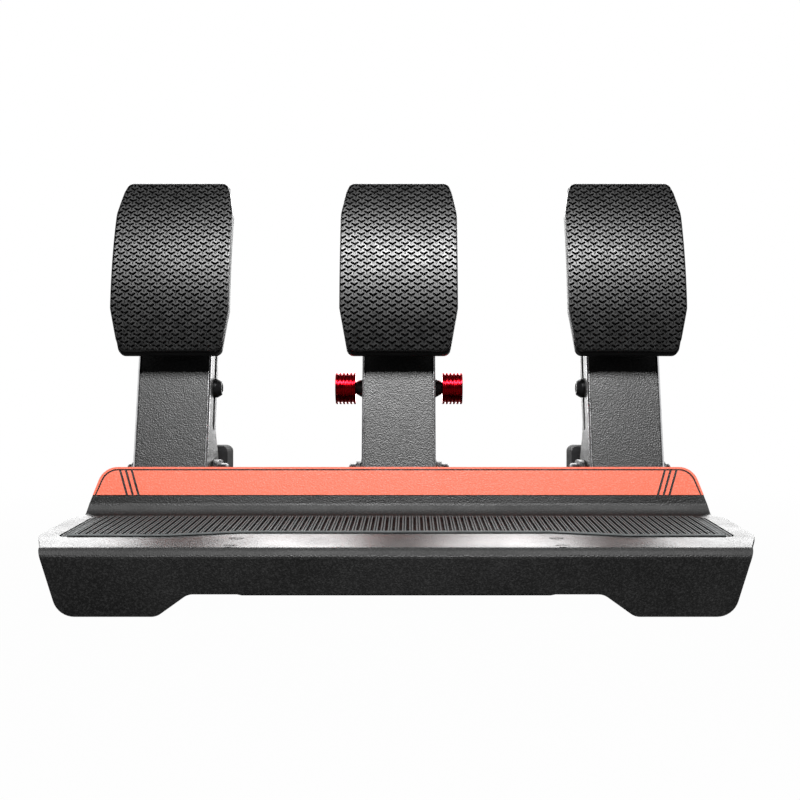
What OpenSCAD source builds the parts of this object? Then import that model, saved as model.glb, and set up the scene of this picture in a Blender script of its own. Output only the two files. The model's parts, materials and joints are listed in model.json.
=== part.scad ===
// Three pedal set for a driving rig: a bent heel plate in front of three sprung pedals on one base plate.
// X runs across the pedals, Y away from the driver, Z up. Lengths are in millimetres, angles in degrees.
// Inside the modules Y is counted from the front wall; set() moves the origin to the middle of the footprint.

/* [Overall] */
// Front wall to rear edge of the base plate
base_depth = 330; // [320:1:380]
// Distance between neighbouring pedals
pedal_pitch = 159; // [150:1:165]
// Steps in each rounded corner
arc_steps = 8; // [4:1:16]

/* [Base plate] */
// Thickness of the base plate
plate_t = 4; // [3:0.5:6]
// Height of the rubber feet under the base plate
foot_h = 8.2; // [6:0.1:10]
// Width of the base plate behind the heel plate
plate_w = 396; // [380:1:410]
// Width of the tongue that reaches under the front wall
tongue_w = 184; // [150:1:190]
// Cut at the front corners of the tongue
tongue_chamfer = 3; // [3:0.5:14]
// Front edge of the tongue, from the front wall
tongue_front = 22; // [6:0.5:26]
// Front edge of the wide part of the base plate
plate_front = 84; // [76:1:95]
// Corner radius of the base plate
plate_corner_r = 14; // [6:1:25]
// Radius of a rubber foot
foot_r = 13; // [9:0.5:16]
// Rubber feet: distance of the foot centres from the plate edges
foot_inset = 18; // [17:0.5:26]
// Mounting holes: distance from the middle of the outer pedals
mount_off = 47; // [44:1:50]
// Mounting holes: spacing front to back
mount_dy = 150; // [120:1:160]
// Mounting holes: front pair, from the front wall
mount_front = 150; // [140:1:160]
// Mounting holes: radius
mount_r = 3.3; // [2.5:0.1:5]

/* [Heel plate] */
// Thickness of the bent sheet
sheet_t = 3; // [2:0.5:4]
// Height of the front wall
wall_h = 38; // [34:0.5:46]
// Width of the front wall at its top
wall_top_w = 401; // [390:1:410]
// Width of the front wall at the floor
wall_foot_w = 377; // [360:1:388]
// Corner radius of the front wall at the floor
wall_corner_r = 12.5; // [3:0.5:14]
// Radius of the bend between front wall and heel rest
wall_bend_r = 6; // [5:0.5:10]
// Distance between the inner ends of the two foot edges
foot_gap = 267; // [250:1:290]
// Width of the ramp beside each foot edge
ramp_w = 17.5; // [14:0.5:30]
// Clear height under the middle of the front wall
arch_h = 12.5; // [8:0.5:15]
// Blend radius at the ramps
ramp_r = 9; // [4:1:16]
// Width of the heel rest
rest_w = 427; // [420:1:440]
// Slope of the heel rest
rest_slope = 3; // [1:0.25:5]
// Front wall to the foot of the riser
rest_depth = 130; // [126:1:134]
// Where the heel rest reaches its full width, from the front wall
rest_flare = 44; // [30:1:60]
// Blend radius at the sides of the heel rest
rest_flare_r = 20; // [8:1:24]
// Length of the riser up its face
riser_len = 31.5; // [24:0.5:40]
// Lean of the riser
riser_lean = 12; // [6:0.5:18]
// Width of the riser at its foot
riser_foot_w = 417; // [410:1:424]
// Width of the riser at its top
riser_top_w = 398; // [390:1:410]
// Radius of the riser's top corners
riser_corner_r = 13; // [5:1:16]
// Radius of the bend at the foot of the riser
riser_fillet_r = 9; // [7:0.5:12]
// Straight stretch at the ends of the riser
riser_straight = 4; // [2:0.5:8]

/* [Accent band] */
// Thickness of the band on the riser
band_t = 0.5; // [0.3:0.1:1]
// Start of the band above the foot of the riser
band_low = 12.5; // [9:0.5:14]
// Width of each slit
slit_w = 1.5; // [1:0.1:2.5]
// Distance between slits
slit_pitch = 3.9; // [3:0.1:6]
// Slits near each end
slit_count = 3; // [1:1:5]
// Outermost slit, from the end of the band at its top
slit_inset = 9.5; // [8:0.5:30]
// Slant of the slits
slit_slant = 18; // [0:1:25]
// Groove near the edge of the band: distance from the edge
line_inset = 1.4; // [1:0.1:3]
// Groove near the edge of the band: width
line_w = 1; // [0.5:0.1:1.5]

/* [Heel mat] */
// Plain heel rest beside each end of the mat
mat_margin = 13.5; // [10:0.5:24]
// Rear edge of the mat along the heel rest
mat_rear = 112.5; // [100:0.5:114]
// Front edge of the mat in the middle
mat_front = 52; // [46:0.5:60]
// Front edge of the mat at its ends
mat_end_front = 40; // [32:0.5:46]
// Width of the middle stretch of the front edge
mat_mid_w = 190; // [150:1:200]
// Run of the slanting stretch of the front edge
mat_slant = 42; // [20:1:60]
// Gap round the mat
mat_gap = 1.2; // [0.6:0.1:2]
// Thickness of the mat under its ribs
mat_t = 3; // [1.5:0.1:3.2]
// Height of the ribs
rib_h = 1.2; // [0.6:0.1:2]
// Distance between ribs
rib_pitch = 4.35; // [3.5:0.05:6]
// Width of a rib at its foot
rib_w = 3.1; // [2:0.1:3.4]
// Width of a rib at its top
rib_top_w = 2.5; // [1.4:0.1:2.8]
// Groove along the top of a rib: width
rib_line_w = 0.7; // [0.4:0.1:1]
// Groove along the top of a rib: depth
rib_line_d = 0.5; // [0.2:0.1:0.8]
// Plain border at the ends of the mat
mat_border = 5; // [2:0.5:8]
// Corner radius of the mat
mat_corner_r = 5; // [2:0.5:8]
// Blend radius at the slanting stretches
mat_slant_r = 10; // [4:1:20]
// Thickness of the tray under the mat
tray_t = 2; // [1:0.5:3]
// Overlap of the tray under the heel rest
tray_lap = 5.5; // [4:0.5:6]

/* [Heel posts] */
// Distance between the two posts
post_dx = 188; // [170:1:196]
// Width of a post
post_w = 20; // [14:1:24]
// Front screw, from the front wall
screw_front = 9; // [8.5:0.5:12]
// Distance between the two screws of a post
screw_dy = 25; // [20:0.5:26]
// Radius of the screw head
screw_head_r = 4.4; // [3.5:0.1:5]
// Radius of the screw shank
screw_r = 2; // [1.5:0.1:2.5]
// Depth of post around a screw
post_margin = 4; // [3.5:0.5:4.5]
// Cut at the front of a post, clear of the bend of the wall
post_chamfer = 2.5; // [2:0.5:4]
// Radius of the window through a post
post_window_r = 6; // [3:0.5:7]
// Length of a heel screw
screw_len = 14; // [8:0.5:15]

/* [Riser brackets] */
// Distance between the riser brackets
riser_bracket_dx = 160; // [150:1:170]
// Width of a riser bracket
riser_bracket_w = 26; // [18:1:30]
// Length of a riser bracket's foot
riser_bracket_foot = 24; // [18:1:28]
// Thickness of a riser bracket
riser_bracket_t = 3; // [2:0.5:4]
// Top of a riser bracket below the top of the riser
riser_bracket_drop = 8; // [4:0.5:12]

/* [Pedal brackets] */
// Height of the pivot above the floor
pivot_z = 66; // [60:0.5:74]
// Pivot behind the front wall
pivot_y = 188; // [180:0.5:194]
// Thickness of the bracket sheet
ear_t = 3.5; // [3:0.5:5]
// Gap between arm and ear
ear_gap = 1; // [0.7:0.1:2]
// Bracket reach in front of the pivot
ear_front = 40; // [34:1:44]
// Bracket reach behind the pivot
ear_rear = 30; // [24:1:36]
// Height of the ear above the pivot
ear_top = 11.8; // [10:0.2:16]
// Shoulder of the ear below the pivot
ear_shoulder = 6; // [2:0.5:12]
// Corner radius of the ear at its ends
ear_corner_r = 8; // [3:0.5:10]
// Level stretch at the top of the ear
ear_crown = 20; // [16:1:26]
// Blend radius beside the level stretch
ear_crown_r = 14; // [4:1:20]
// Bracket bolts: distance from the middle of the pedal
bracket_bolt_x = 14; // [10:0.5:16]

/* [Pivot] */
// Radius of the pivot shaft
shaft_r = 5; // [4:0.5:6]
// Outer radius of the bush in the arm
bush_r = 8; // [7:0.5:9]
// Radius of the pivot caps
cap_r = 9.5; // [9:0.5:11.5]
// Thickness of the pivot caps
cap_t = 5.5; // [3:0.5:7]
// Chamfer of the pivot caps
cap_chamfer = 1.2; // [0.4:0.2:2]
// Side gap between bush and ear
bush_side_gap = 0.3; // [0.2:0.1:0.5]
// Running clearance of shafts and pins
fit = 0.05; // [0.02:0.01:0.1]

/* [Pedal arm] */
// Width of the arm
arm_w = 51.8; // [46:0.2:54]
// Wall of the arm
arm_t = 4; // [3:0.5:5]
// Lean of the arm
arm_lean = 13; // [8:0.5:18]
// Arm face in front of the pivot
face_off = 30.6; // [26:0.2:34]
// Arm length above the pivot
arm_top = 190; // [180:1:200]
// Arm face below the pivot
web_drop = 10; // [4:0.5:16]
// Radius of the boss round the pivot
boss_r = 15; // [12:0.5:18]
// Rounding at the lower end of the arm face
arm_toe = 8; // [4:0.5:10]
// Side depth between boss and cross pin, behind the pin
arm_waist = 8; // [5:0.5:12]
// Side depth above the cross pin
arm_upper = 24; // [20:0.5:28]
// Side depth at the top
arm_tip = 15; // [10:0.5:18]
// Bend radius of the arm
arm_bend_r = 1; // [0.5:0.25:5]
// Rim along each side of the arm face: width
rim_w = 1.6; // [1:0.1:3]
// Groove beside the rim: width
rim_groove_w = 0.9; // [0.5:0.1:1.5]
// Groove beside the rim: depth
rim_groove_d = 1.2; // [0.5:0.1:2]
// Cross pin behind the arm face
pin_depth = 18; // [15:0.5:20]
// Cross pin above the pivot
pin_rise = 62.5; // [56:0.5:70]
// Radius of the cross pin
pin_r = 4; // [3:0.5:5]
// Lug behind the cross pin
lug_r = 11; // [8:0.5:13]
// Length of the slot that holds the cross pin
slot_len = 62; // [40:1:70]
// Radius of the button head
head_r = 7; // [6:0.5:9]
// Height of the button head
head_h = 5.4; // [4:0.2:7]
// Straight edge of the button head
head_edge = 2; // [1:0.2:3]
// Radius of the flat on the button head
head_flat_r = 5; // [4.5:0.1:6]

/* [Pads] */
// Width of a pad
pad_w = 82.4; // [60:0.4:90]
// Length of the tread along its curve
pad_len = 128.6; // [110:0.2:136]
// Radius of the tread face
pad_r = 203; // [170:1:260]
// Width of a pad at its top edge
pad_top_w = 73; // [50:1:80]
// Width of a pad at its bottom edge
pad_bottom_w = 71; // [50:1:80]
// Length of the narrowing stretch at the top
pad_top_taper = 27; // [15:1:40]
// Length of the narrowing stretch at the bottom
pad_bottom_taper = 29; // [15:1:40]
// Corner radius of a pad
pad_corner_r = 5; // [3:0.5:10]
// Thickness of the rubber tread
grip_t = 4; // [2:0.5:6]
// Thickness of the pad plate
pad_plate_t = 3; // [2:0.5:4]
// Lip of the plate below the tread
pad_lip = 1.5; // [0:0.5:5]
// Middle of the pad mount above the pivot
pad_rise = 135.2; // [124:0.2:140]
// Gap between arm face and pad plate at the mount
pad_gap = 23; // [11:0.2:28]
// Turn of the pad's middle against the arm
pad_tilt = 2.15; // [0:0.05:5]
// Width of the pad mount
mount_w = 36; // [30:1:42]
// Length of the pad mount
mount_len = 70; // [62:1:76]
// Width of the window in the pad mount
mount_window_w = 12; // [6:1:14]
// Pad bolts: spacing across
pad_bolt_dx = 24; // [20:1:28]
// Pad bolts: spacing along the arm
pad_bolt_dz = 50; // [44:1:54]
// Pad bolts: radius
pad_bolt_r = 2.5; // [2:0.25:3]
// Pad bolts: depth in the pad plate
pad_bolt_bite = 1.8; // [1:0.1:2.4]

/* [Struts] */
// Trunnion behind the front wall
trunnion_y = 288; // [284:1:294]
// Height of the trunnion
trunnion_z = 100; // [96:1:106]
// Struts of the outer pedals: distance from the middle of the pedal, outwards
strut_off = 7; // [0:0.5:7.5]
// Radius of the strut rod
rod_r = 5; // [4:0.5:6]
// Radius of the cross tube at the front of a rod
eye_r = 8; // [7:0.5:9]
// Front face of the spring collar, from the cross pin
collar_at = 16; // [14:0.5:20]
// Thickness of the spring collar
collar_t = 4; // [3:0.5:6]
// Radius of the spring collar
collar_r = 14; // [13.5:0.5:15]
// Radius of the trunnion barrel
barrel_r = 14; // [13:0.5:15]
// Distance of the trunnion's flats from its axis
barrel_flat = 12; // [9:0.5:13]
// Radius of the spring seat on the trunnion
seat_r = 13; // [12:0.5:13.5]
// Thickness of the spring seat
seat_t = 2.5; // [1.5:0.5:3]
// Radial clearance of the rod in the trunnion
guide_gap = 1.1; // [0.8:0.1:1.5]
// Side gap of cross tubes and trunnions
eye_side_gap = 0.3; // [0.2:0.1:0.6]
// Thickness of the nut on the rod
nut_t = 7; // [5:0.5:9]
// Radius of the nut across its corners
nut_r = 9; // [8:0.5:11]
// Rod behind the nut
rod_tail = 5; // [2:0.5:6]
// Gap between pieces that only touch at rest
rest_gap = 0.2; // [0.1:0.05:0.3]

/* [Springs] */
// Wire thickness
wire_d = 3; // [2.4:0.1:3.4]
// Radius of the wire's middle line
coil_r = 10.2; // [9.5:0.1:11]
// Curls
curls = 8; // [5:1:9]

/* [Brake] */
// Radius of the elastomer bumper
bumper_r = 14; // [12:0.5:15]
// Lobes of the bumper
bumper_lobes = 4; // [2:1:6]
// Depth of the grooves between lobes
bumper_groove = 2.5; // [1:0.25:4]
// Radius of the load cell
cell_r = 15; // [13:0.5:16]
// Thickness of the load cell
cell_t = 12; // [8:0.5:14]
// Size of the plug on the load cell
cell_plug = 8; // [5:0.5:8]
// Radius of the thumb knobs
knob_r = 11.75; // [9:0.25:13]
// Length of a thumb knob
knob_len = 14.5; // [11:0.5:18]
// Gap between arm and thumb knob, filled by the cone washer
knob_off = 5.1; // [4:0.1:7]
// Fins of a thumb knob
knob_fins = 6; // [3:1:8]
// Depth of the grooves between the fins
fin_depth = 1.5; // [1:0.25:4]
// Gap between fins
fin_gap = 0.9; // [0.6:0.1:1.4]
// Chamfer of the fins
fin_edge = 0.45; // [0.1:0.05:0.6]
// Radius of the dish in the end of a knob
knob_dish_r = 6; // [4:0.25:7]
// Floor of the blind bore in a knob
knob_floor = 1.5; // [1.2:0.1:2]
// Large radius of the cone washer
cone_r = 7.2; // [6:0.2:9]

/* [Rear towers] */
// Gap between the ears of a tower
tower_gap = 19; // [18.5:0.5:42]
// Thickness of the tower sheet
tower_t = 3.5; // [3:0.5:5]
// Length of a tower at its foot
tower_len = 40; // [36:1:52]
// Radius of the tower round the trunnion
tower_r = 8; // [7:0.5:15]
// Straight stretch at the foot of a tower
tower_foot_h = 16; // [12:1:24]
// Tower bolts: distance between them
tower_bolt_dy = 22; // [18:1:26]

/* [Electronics] */
// Width of a sensor housing
sensor_w = 16; // [14:1:23]
// Length of a sensor housing
sensor_len = 28; // [22:1:30]
// Height of a sensor housing above the floor
sensor_top = 86.6; // [70:0.2:88]
// Outer face of a sensor housing, from the middle of its pedal
sensor_out = 30; // [28:0.5:37]
// Gap between pedal bracket and sensor housing
sensor_gap = 3; // [1:0.5:6]
// Length of the foot of a sensor housing
sensor_foot = 14; // [13:0.5:16]
// Thickness of the foot of a sensor housing
sensor_foot_t = 4; // [3:0.5:6]
// Corner radius of a sensor housing
sensor_corner_r = 5; // [2:0.5:8]
// Width of the controller housing
box_w = 52; // [46:1:56]
// Length of the controller housing
box_len = 82; // [60:1:90]
// Height of the controller housing
box_h = 26; // [20:1:34]
// Thickness of the controller lid
lid_t = 3; // [2:0.5:4]
// Front of the controller housing, from the front wall
box_front = 178; // [172:1:184]
// Gap between the brake pivot cap and the controller housing
box_gap = 10; // [6:0.5:14]
// Corner radius of the controller housing
box_corner_r = 4; // [2:0.5:8]
// Width of the cable socket
socket_w = 12; // [8:0.5:14]
// Height of the cable socket
socket_h = 11; // [6:0.5:12]
// Depth of the cable socket
socket_depth = 10; // [6:0.5:14]
// Cable socket above the base plate
socket_low = 5; // [3:0.5:6]
// Wall of the cable socket
socket_wall = 1; // [0.5:0.1:1.5]

/* [Fasteners] */
// Radius of the base bolts
bolt_r = 3; // [2.5:0.25:4]
// Radius of the base bolt heads
bolt_head_r = 5.5; // [5:0.25:6.5]
// Height of the base bolt heads
bolt_head_h = 4; // [3:0.5:6]
// Clearance round bolts
bolt_gap = 0.25; // [0.15:0.05:0.5]
// Clearance round the heel screws
screw_gap = 0.1; // [0.05:0.05:0.2]
// Distance of bolts from the ends of a foot
bolt_margin = 9; // [8:0.5:11]
// Inner bend radius of the brackets
inner_bend = 2; // [1:0.5:4]

/* [Hidden] */
$fn = 48;

// Pedals count from the left: the side faces the middle of the set, or is 0 for the middle pedal
CLUTCH = [-pedal_pitch, 1];
BRAKE = [0, 0];
THROTTLE = [pedal_pitch, -1];
PEDALS = [CLUTCH, BRAKE, THROTTLE];

black = [0.13, 0.13, 0.14];
grey = [0.32, 0.32, 0.34];
rubber = [0.2, 0.2, 0.21];
steel = [0.7, 0.71, 0.73];
orange = [0.93, 0.32, 0.22];
red = [0.75, 0.05, 0.08];
wine = [0.55, 0.1, 0.1];

big = 500;
// Share of a half width that its corners round off, and size of a hex socket against its bolt
full_round = 0.98;
hex_share = 0.9;
plate_top = foot_h + plate_t;
ear_in = arm_w / 2 + ear_gap;
ear_out = ear_in + ear_t;
mat_w = rest_w - 2 * mat_margin;
root_z = wall_h + rest_depth * tan(rest_slope);
riser_dir = [sin(riser_lean), cos(riser_lean)];
riser_top = [rest_depth, root_z] + riser_len * riser_dir;

// The cross pin, the trunnion and the strut between them, as [y, z]
pin_local = [pin_depth - face_off, pin_rise];
pin_at = [pivot_y + pin_local.x * cos(arm_lean) + pin_local.y * sin(arm_lean),
          pivot_z - pin_local.x * sin(arm_lean) + pin_local.y * cos(arm_lean)];
trunnion_at = [trunnion_y, trunnion_z];
strut_len = norm(trunnion_at - pin_at);
strut_drop = atan2(pin_at.y - trunnion_at.y, trunnion_at.x - pin_at.x);
seat_front = collar_at + collar_t + rest_gap;
seat_rear = strut_len - barrel_flat - rest_gap;
nut_at = strut_len + barrel_flat + rest_gap;

// The pad's centre of curvature, in the arm's own frame
pad_back_r = pad_r - grip_t - pad_plate_t;
pad_centre = [pad_back_r - pad_gap - face_off, pad_rise];
pad_half = pad_r * sin(pad_len / pad_r * 90 / PI);

// Points of an outline whose corners [x, y, r] are rounded with radius r
function unit(v) = v / norm(v);
function flat(p) = [p[0], p[1]];
function corner(a, p, b) =
  let (r = p[2], u = unit(flat(a) - flat(p)), v = unit(flat(b) - flat(p)))
  (r == undef || r <= 0) ? [flat(p)] :
  let (half = acos(u * v) / 2,
       c = flat(p) + unit(u + v) * r / sin(half),
       s = flat(p) + u * r / tan(half) - c,
       e = flat(p) + v * r / tan(half) - c,
       a0 = atan2(s.y, s.x),
       turn = (atan2(e.y, e.x) - a0 + 540) % 360 - 180)
  [for (k = [0 : arc_steps]) c + r * [cos(a0 + turn * k / arc_steps), sin(a0 + turn * k / arc_steps)]];
function rounded(pts) =
  let (n = len(pts))
  [for (i = [0 : n - 1]) each corner(pts[(i + n - 1) % n], pts[i], pts[(i + 1) % n])];
function mirrored(pts) = concat(pts, [for (i = [len(pts) - 1 : -1 : 0]) [-pts[i][0], pts[i][1], pts[i][2]]]);

// Cross-section of a sheet of thickness t, bent along a path and lying on the path's right side
function dir(path, i) = unit(flat(path[i + 1]) - flat(path[i]));
function right(d) = [d.y, -d.x];
function shifted(path, i, t) =
  let (n = len(path),
       a = right(dir(path, max(i - 1, 0))),
       b = right(dir(path, min(i, n - 2))),
       p = flat(path[i]) + t * (a + b) / (1 + a * b),
       bend = (i == 0 || i == n - 1) ? 0 : sign(cross(dir(path, i - 1), dir(path, i))),
       r = path[i][2] == undef ? 0 : path[i][2])
  [p.x, p.y, r == 0 ? 0 : max(r + t * bend, 0)];
function sheet(path, t) =
  rounded(concat(path, [for (i = [len(path) - 1 : -1 : 0]) shifted(path, i, t)]));

// Frames
module set() translate([0, -base_depth / 2, 0]) children();
module at_pedal(p) set() translate([p[0], 0, 0]) children();
module on_arm(p) at_pedal(p) translate([0, pivot_y, pivot_z]) rotate([-arm_lean, 0, 0]) children();
module at_strut(p) at_pedal(p) translate([-p[1] * strut_off, 0, 0]) children();
module on_strut(p) at_strut(p) translate([0, pin_at.x, pin_at.y]) rotate([-90 - strut_drop, 0, 0]) children();
module on_pad(p) on_arm(p) translate([0, pad_centre.x, pad_centre.y]) rotate([-pad_tilt, 0, 0]) children();
module on_rest() set() translate([0, 0, wall_h]) rotate([rest_slope, 0, 0]) children();
module on_riser() set() translate([0, rest_depth, root_z]) rotate([-riser_lean, 0, 0]) children();

// Extrusions: an [x, z] outline from y0 to y1, and a [y, z] outline from x0 to x1
module along_y(y0, y1) translate([0, y1, 0]) rotate([90, 0, 0]) linear_extrude(y1 - y0) children();
module along_x(x0, x1) translate([x0, 0, 0]) rotate([90, 0, 90]) linear_extrude(x1 - x0) children();
module rod_x(r, x0, x1) translate([x0, 0, 0]) rotate([0, 90, 0]) cylinder(r = r, h = x1 - x0);
module ring(r, bore, h) {
  difference() {
    cylinder(r = r, h = h);
    translate([0, 0, -1]) cylinder(r = bore, h = h + 2);
  }
}
module mirror_copies() {
  children();
  mirror([1, 0, 0]) children();
}

// Base plate and what stands on it
post_out = (post_dx + post_w) / 2;
plate_outline = rounded(mirrored([
  [-tongue_w / 2 + tongue_chamfer, tongue_front],
  [-tongue_w / 2, tongue_front + tongue_chamfer],
  [-post_out, tongue_front + tongue_chamfer + post_out - tongue_w / 2],
  [-post_out, plate_front - plate_corner_r, plate_corner_r],
  [-plate_w / 2 + plate_corner_r, plate_front, plate_corner_r],
  [-plate_w / 2, plate_front + plate_corner_r, plate_corner_r],
  [-plate_w / 2, base_depth, plate_corner_r]]));
mount_x = pedal_pitch - mount_off;
bracket_bolt_y = [pivot_y - ear_front + bolt_margin, pivot_y + ear_rear - bolt_margin];
tower_bolt_y = [trunnion_y - tower_bolt_dy / 2, trunnion_y + tower_bolt_dy / 2];
sensor_y = pivot_y + ear_rear + sensor_gap;
sensor_mid = sensor_out - sensor_w / 2;
sensor_foot_y = sensor_y + sensor_len + sensor_foot / 2;
riser_right = right(riser_dir);
riser_back_low = (plate_top - root_z - riser_right.y * sheet_t) / riser_dir.y;
riser_back = [rest_depth, root_z] + sheet_t * riser_right;
riser_foot_y = (riser_back + riser_back_low * riser_dir).x;
riser_bolt_y = riser_foot_y + riser_bracket_foot - bolt_margin;

// Every base bolt, as [x, y, thickness of the foot that it holds]
base_bolt_list = concat(
  [for (p = PEDALS, x = [-bracket_bolt_x, bracket_bolt_x], y = bracket_bolt_y) [p[0] + x, y, ear_t]],
  [for (p = PEDALS, y = tower_bolt_y) [p[0] - p[1] * strut_off, y, tower_t]],
  [for (p = [CLUTCH, THROTTLE]) [p[0] + p[1] * sensor_mid, sensor_foot_y, sensor_foot_t]],
  [for (x = [-1, 1]) [x * riser_bracket_dx / 2, riser_bolt_y, riser_bracket_t]]);
module base_bolt_holes() {
  for (b = base_bolt_list)
    translate([b[0], b[1], 0]) cylinder(r = bolt_r + bolt_gap, h = big);
}

module base_plate() color(black) set() {
  difference() {
    translate([0, 0, foot_h]) linear_extrude(plate_t) polygon(plate_outline);
    base_bolt_holes();
    for (x = [-mount_x, mount_x], y = [mount_front, mount_front + mount_dy])
      translate([x, y, 0]) cylinder(r = mount_r, h = big);
  }
}

module base_feet() color(rubber) set() {
  for (x = [-1, 1], y = [plate_front + foot_inset, base_depth - foot_inset])
    translate([x * (plate_w / 2 - foot_inset), y, 0])
      rotate_extrude() polygon([[0, 0], [foot_r - 1, 0], [foot_r, 1], [foot_r, foot_h], [0, foot_h]]);
}

module base_bolts() color(steel) set() {
  for (b = base_bolt_list) translate([b[0], b[1], foot_h]) {
    cylinder(r = bolt_r, h = plate_t + b[2]);
    translate([0, 0, plate_t + b[2]]) difference() {
      cylinder(r = bolt_head_r, h = bolt_head_h);
      translate([0, 0, bolt_head_h / 2]) cylinder(r = bolt_r * hex_share, h = bolt_head_h, $fn = 6);
    }
  }
}

// Heel plate
function riser_half(z) =
  riser_foot_w / 2 + (riser_top_w - riser_foot_w) / 2 * (z - riser_straight) / (riser_len - riser_straight);
function mat_outline(d) = rounded(mirrored([
  [-mat_w / 2 - d, mat_rear + d, mat_corner_r + d],
  [-mat_w / 2 - d, mat_end_front - d, mat_corner_r + d],
  [-mat_mid_w / 2 - mat_slant, mat_end_front - d, mat_slant_r],
  [-mat_mid_w / 2, mat_front - d, mat_slant_r]]));
heel_profile = sheet([
  [0, 0], [0, wall_h, wall_bend_r],
  [rest_depth, root_z, riser_fillet_r], [riser_top.x, riser_top.y]], sheet_t);
wall_outline = rounded(mirrored([
  [-wall_top_w / 2, big], [-wall_top_w / 2, wall_h],
  [-wall_foot_w / 2, 0, wall_corner_r], [-foot_gap / 2, 0, ramp_r],
  [-foot_gap / 2 + ramp_w, arch_h, ramp_r]]));
rest_outline = rounded(mirrored([
  [-wall_top_w / 2, wall_bend_r], [-rest_w / 2, rest_flare, rest_flare_r],
  [-rest_w / 2, rest_depth - riser_fillet_r - rest_flare_r / 2, rest_flare_r / 2],
  [-riser_foot_w / 2, rest_depth - riser_fillet_r]]));
riser_outline = rounded(mirrored([
  [-riser_foot_w / 2, -sheet_t * 3], [-riser_foot_w / 2, riser_straight, rest_flare_r],
  [-riser_top_w / 2, riser_len, riser_corner_r]]));
screw_y = [screw_front, screw_front + screw_dy];
module at_screws() {
  for (x = [-1, 1], y = screw_y) translate([x * post_dx / 2, y, 0]) children();
}
module screw(gap) {
  head = screw_head_r - screw_r;
  translate([0, 0, -head]) cylinder(r1 = screw_r + gap, r2 = screw_head_r + gap, h = head);
  translate([0, 0, -screw_len]) cylinder(r = screw_r + gap, h = screw_len);
}

module heel_plate() color(black) {
  difference() {
    intersection() {
      set() along_x(-big, big) polygon(heel_profile);
      union() {
        set() along_y(-1, wall_bend_r) polygon(wall_outline);
        set() translate([0, 0, wall_h - 2 * wall_bend_r]) linear_extrude(big) intersection() {
          polygon(rest_outline);
          translate([-big, 0]) square([2 * big, rest_depth - riser_fillet_r]);
        }
        on_riser() along_y(-2 * riser_fillet_r, 2 * sheet_t) polygon(riser_outline);
      }
    }
    on_rest() translate([0, 0, -2 * sheet_t]) linear_extrude(3 * sheet_t) polygon(mat_outline(mat_gap));
    on_rest() at_screws() screw(screw_gap);
  }
}

module mat_tray() color(black) on_rest() {
  translate([0, 0, -sheet_t - tray_t]) linear_extrude(tray_t) polygon(mat_outline(mat_gap + tray_lap));
}

// Ribs run front to back: the cross-section steps up and down along the width
rib_count = floor((mat_w - 2 * mat_border) / rib_pitch);
rib_profile = concat(
  [[-mat_w / 2, 0], [-mat_w / 2, mat_t]],
  [for (k = [0 : rib_count - 1], c = [(k - (rib_count - 1) / 2) * rib_pitch])
    each [[c - rib_w / 2, mat_t], [c - rib_top_w / 2, mat_t + rib_h],
          [c - rib_line_w / 2, mat_t + rib_h], [c, mat_t + rib_h - rib_line_d],
          [c + rib_line_w / 2, mat_t + rib_h], [c + rib_top_w / 2, mat_t + rib_h],
          [c + rib_w / 2, mat_t]]],
  [[mat_w / 2, mat_t], [mat_w / 2, 0]]);
module heel_mat() color(rubber) on_rest() {
  translate([0, 0, -sheet_t]) intersection() {
    along_y(mat_end_front, mat_rear) polygon(rib_profile);
    linear_extrude(big) polygon(mat_outline(0));
  }
}

module heel_posts() color(steel) {
  rear = screw_y[1] + post_margin;
  front = screw_y[0] - post_margin;
  difference() {
    intersection() {
      set() for (x = [-1, 1]) translate([x * post_dx / 2, 0, plate_top])
        along_x(-post_w / 2, post_w / 2) polygon(rounded([
          [front, 0, 1], [rear, 0, 1], [rear, wall_h], [front + post_chamfer, wall_h],
          [front + post_chamfer, wall_h - plate_top - sheet_t],
          [front, wall_h - plate_top - sheet_t - post_chamfer]]));
      on_rest() translate([-big, 0, -big - sheet_t]) cube([2 * big, big, big]);
    }
    on_rest() at_screws() screw(bolt_gap);
    set() translate([0, (front + rear) / 2, (plate_top + wall_h - sheet_t) / 2])
      rod_x(post_window_r, -big, big);
  }
}

module heel_screws() color(steel) on_rest() at_screws() difference() {
  screw(0);
  translate([0, 0, -screw_r / 2]) for (a = [0, 90]) rotate(a)
    translate([-screw_r, -screw_r / 4, 0]) cube([2 * screw_r, screw_r / 2, screw_r]);
}

module riser_brackets() color(black) set() {
  top = riser_back + (riser_len - riser_bracket_drop) * riser_dir;
  difference() {
    for (x = [-1, 1]) translate([x * riser_bracket_dx / 2, 0, 0])
      along_x(-riser_bracket_w / 2, riser_bracket_w / 2) polygon(sheet([
        [riser_foot_y + riser_bracket_foot, plate_top],
        [riser_foot_y, plate_top, riser_bracket_t + inner_bend], [top.x, top.y]], riser_bracket_t));
    base_bolt_holes();
  }
}

function band_outline(d) = rounded(mirrored([
  [-riser_half(band_low) + d, band_low], [-riser_half(riser_len) + d, riser_len - d, riser_corner_r - d]]));
module accent_band() color(orange) on_riser() along_y(-band_t, 0) {
  difference() {
    polygon(band_outline(0));
    polygon(band_outline(line_inset));
  }
  difference() {
    polygon(band_outline(line_inset + line_w));
    for (m = [0, 1], k = [0 : slit_count - 1]) mirror([m, 0])
      translate([riser_half(riser_len) - slit_inset - k * slit_pitch, riser_len])
        rotate(-slit_slant) translate([-slit_w, -2 * riser_len]) square([slit_w, 3 * riser_len]);
  }
}

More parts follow.
